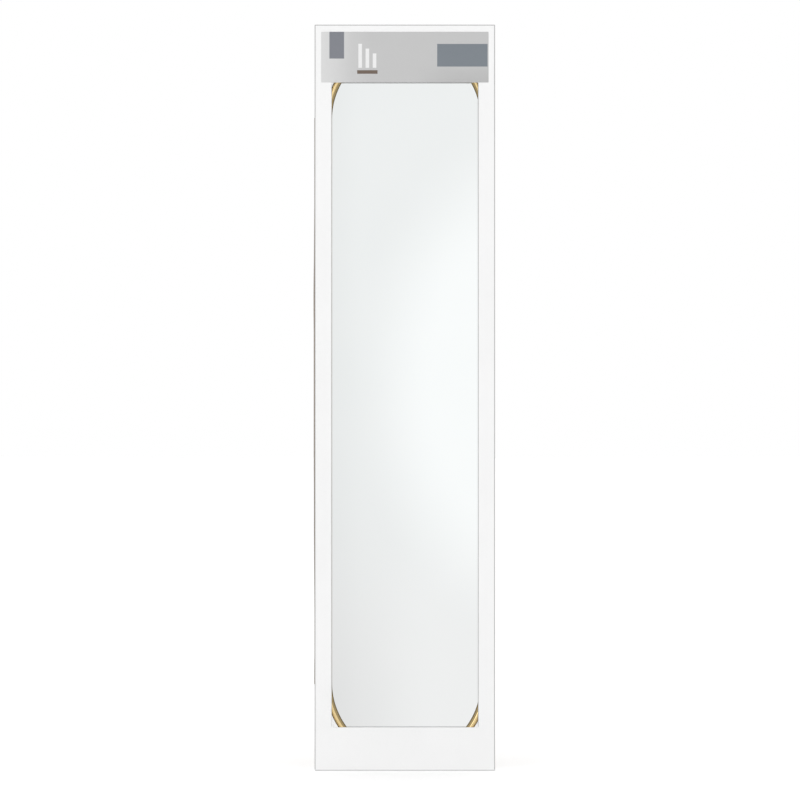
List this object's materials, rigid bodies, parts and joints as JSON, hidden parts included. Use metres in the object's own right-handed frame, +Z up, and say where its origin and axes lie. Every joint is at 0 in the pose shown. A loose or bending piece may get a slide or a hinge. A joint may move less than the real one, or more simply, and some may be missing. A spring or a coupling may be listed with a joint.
{
  "type": "over the door mirror",
  "caption": "Tall pill-shaped mirror in a slim gold frame, with height-adjustable door hooks on its back, inside a white window card with a bare grey label.",
  "frame": {"origin": "centre of the back board's rear face, level with the frame's rear rim, midway between the round ends", "axes": "+X to the right as seen from the front, +Z up along the mirror's length, -Y towards the viewer, +Y towards the door"},
  "size_m": [0.3027, 0.0868, 1.244],
  "materials": {
    "gold_frame": "satin gold anodised, rolled profile",
    "zinc_steel": "zinc plated steel sheet",
    "screw_steel": "bright zinc plated",
    "mirror_face": "silvered float glass",
    "white_pad": "white honeycomb card",
    "bedding_tape": "foam tape",
    "backing_film": "thin safety film",
    "filler_board": "brown board",
    "fibreboard": "smooth pressed fibreboard",
    "felt": "dark grey pressed felt",
    "rubber": "soft black rubber",
    "card_white": "smooth matt white card",
    "raw_card": "raw grey-brown side of the card",
    "label_print": "grey printed paper, no lettering"
  },
  "bodies": {
    "mirror": {"frame_upper": "gold_frame", "frame_lower": "gold_frame", "splice_key_left": "zinc_steel", "splice_key_right": "zinc_steel", "splice_screws": "screw_steel", "mirror_glass": "mirror_face", "lip_tape": "bedding_tape", "safety_film": "backing_film", "filler_sheet": "filler_board", "back_board": "fibreboard", "button_screws": "screw_steel", "hanging_rail": "zinc_steel", "rail_screws": "screw_steel", "hook_guide_left": "zinc_steel", "hook_guide_right": "zinc_steel", "back_bumpers": "rubber"},
    "card": {"display_card": "card_white", "card_sides": "card_white", "closing_flap": "raw_card", "header_label": "label_print", "top_pad": "white_pad", "bottom_pad": "white_pad", "side_pads": "white_pad"},
    "left_hook": {"hook_left": "zinc_steel", "hook_pads_left": "felt"},
    "right_hook": {"hook_right": "zinc_steel", "hook_pads_right": "felt"},
    "left_thumb_screw": {"thumb_screw_left": "screw_steel"},
    "right_thumb_screw": {"thumb_screw_right": "screw_steel"},
    "button_1": {"turn_button_1": "zinc_steel"},
    "button_2": {"turn_button_2": "zinc_steel"},
    "button_3": {"turn_button_3": "zinc_steel"},
    "button_4": {"turn_button_4": "zinc_steel"},
    "button_5": {"turn_button_5": "zinc_steel"},
    "button_6": {"turn_button_6": "zinc_steel"}
  },
  "joints": [
    {"name": "card_pull", "type": "slide", "parent": "mirror", "child": "card", "axis": [0, -1, 0], "range_m": [0, 0.06]},
    {"name": "left_hook_height", "type": "slide", "parent": "mirror", "child": "left_hook", "axis": [0, 0, 1], "range_m": [0, 0.12]},
    {"name": "right_hook_height", "type": "slide", "parent": "mirror", "child": "right_hook", "axis": [0, 0, 1], "range_m": [0, 0.12]},
    {"name": "left_thumb_turn", "type": "hinge", "parent": "mirror", "child": "left_thumb_screw", "pos_m": [-0.06, 0.0088, 0.465], "axis": [0, 1, 0], "range_deg": [0, 360]},
    {"name": "right_thumb_turn", "type": "hinge", "parent": "mirror", "child": "right_thumb_screw", "pos_m": [0.06, 0.0088, 0.465], "axis": [0, 1, 0], "range_deg": [0, 360]},
    {"name": "button_1_turn", "type": "hinge", "parent": "mirror", "child": "button_1", "pos_m": [0.1317, 0.0006, 0.23], "axis": [0, 1, 0], "range_deg": [-90, 90]},
    {"name": "button_2_turn", "type": "hinge", "parent": "mirror", "child": "button_2", "pos_m": [0, 0.0006, 0.6017], "axis": [0, 1, 0], "range_deg": [-90, 90]},
    {"name": "button_3_turn", "type": "hinge", "parent": "mirror", "child": "button_3", "pos_m": [-0.1317, 0.0006, 0.23], "axis": [0, 1, 0], "range_deg": [-90, 90]},
    {"name": "button_4_turn", "type": "hinge", "parent": "mirror", "child": "button_4", "pos_m": [-0.1317, 0.0006, -0.23], "axis": [0, 1, 0], "range_deg": [-90, 90]},
    {"name": "button_5_turn", "type": "hinge", "parent": "mirror", "child": "button_5", "pos_m": [0, 0.0006, -0.6017], "axis": [0, 1, 0], "range_deg": [-90, 90]},
    {"name": "button_6_turn", "type": "hinge", "parent": "mirror", "child": "button_6", "pos_m": [0.1317, 0.0006, -0.23], "axis": [0, 1, 0], "range_deg": [-90, 90]}
  ]
}
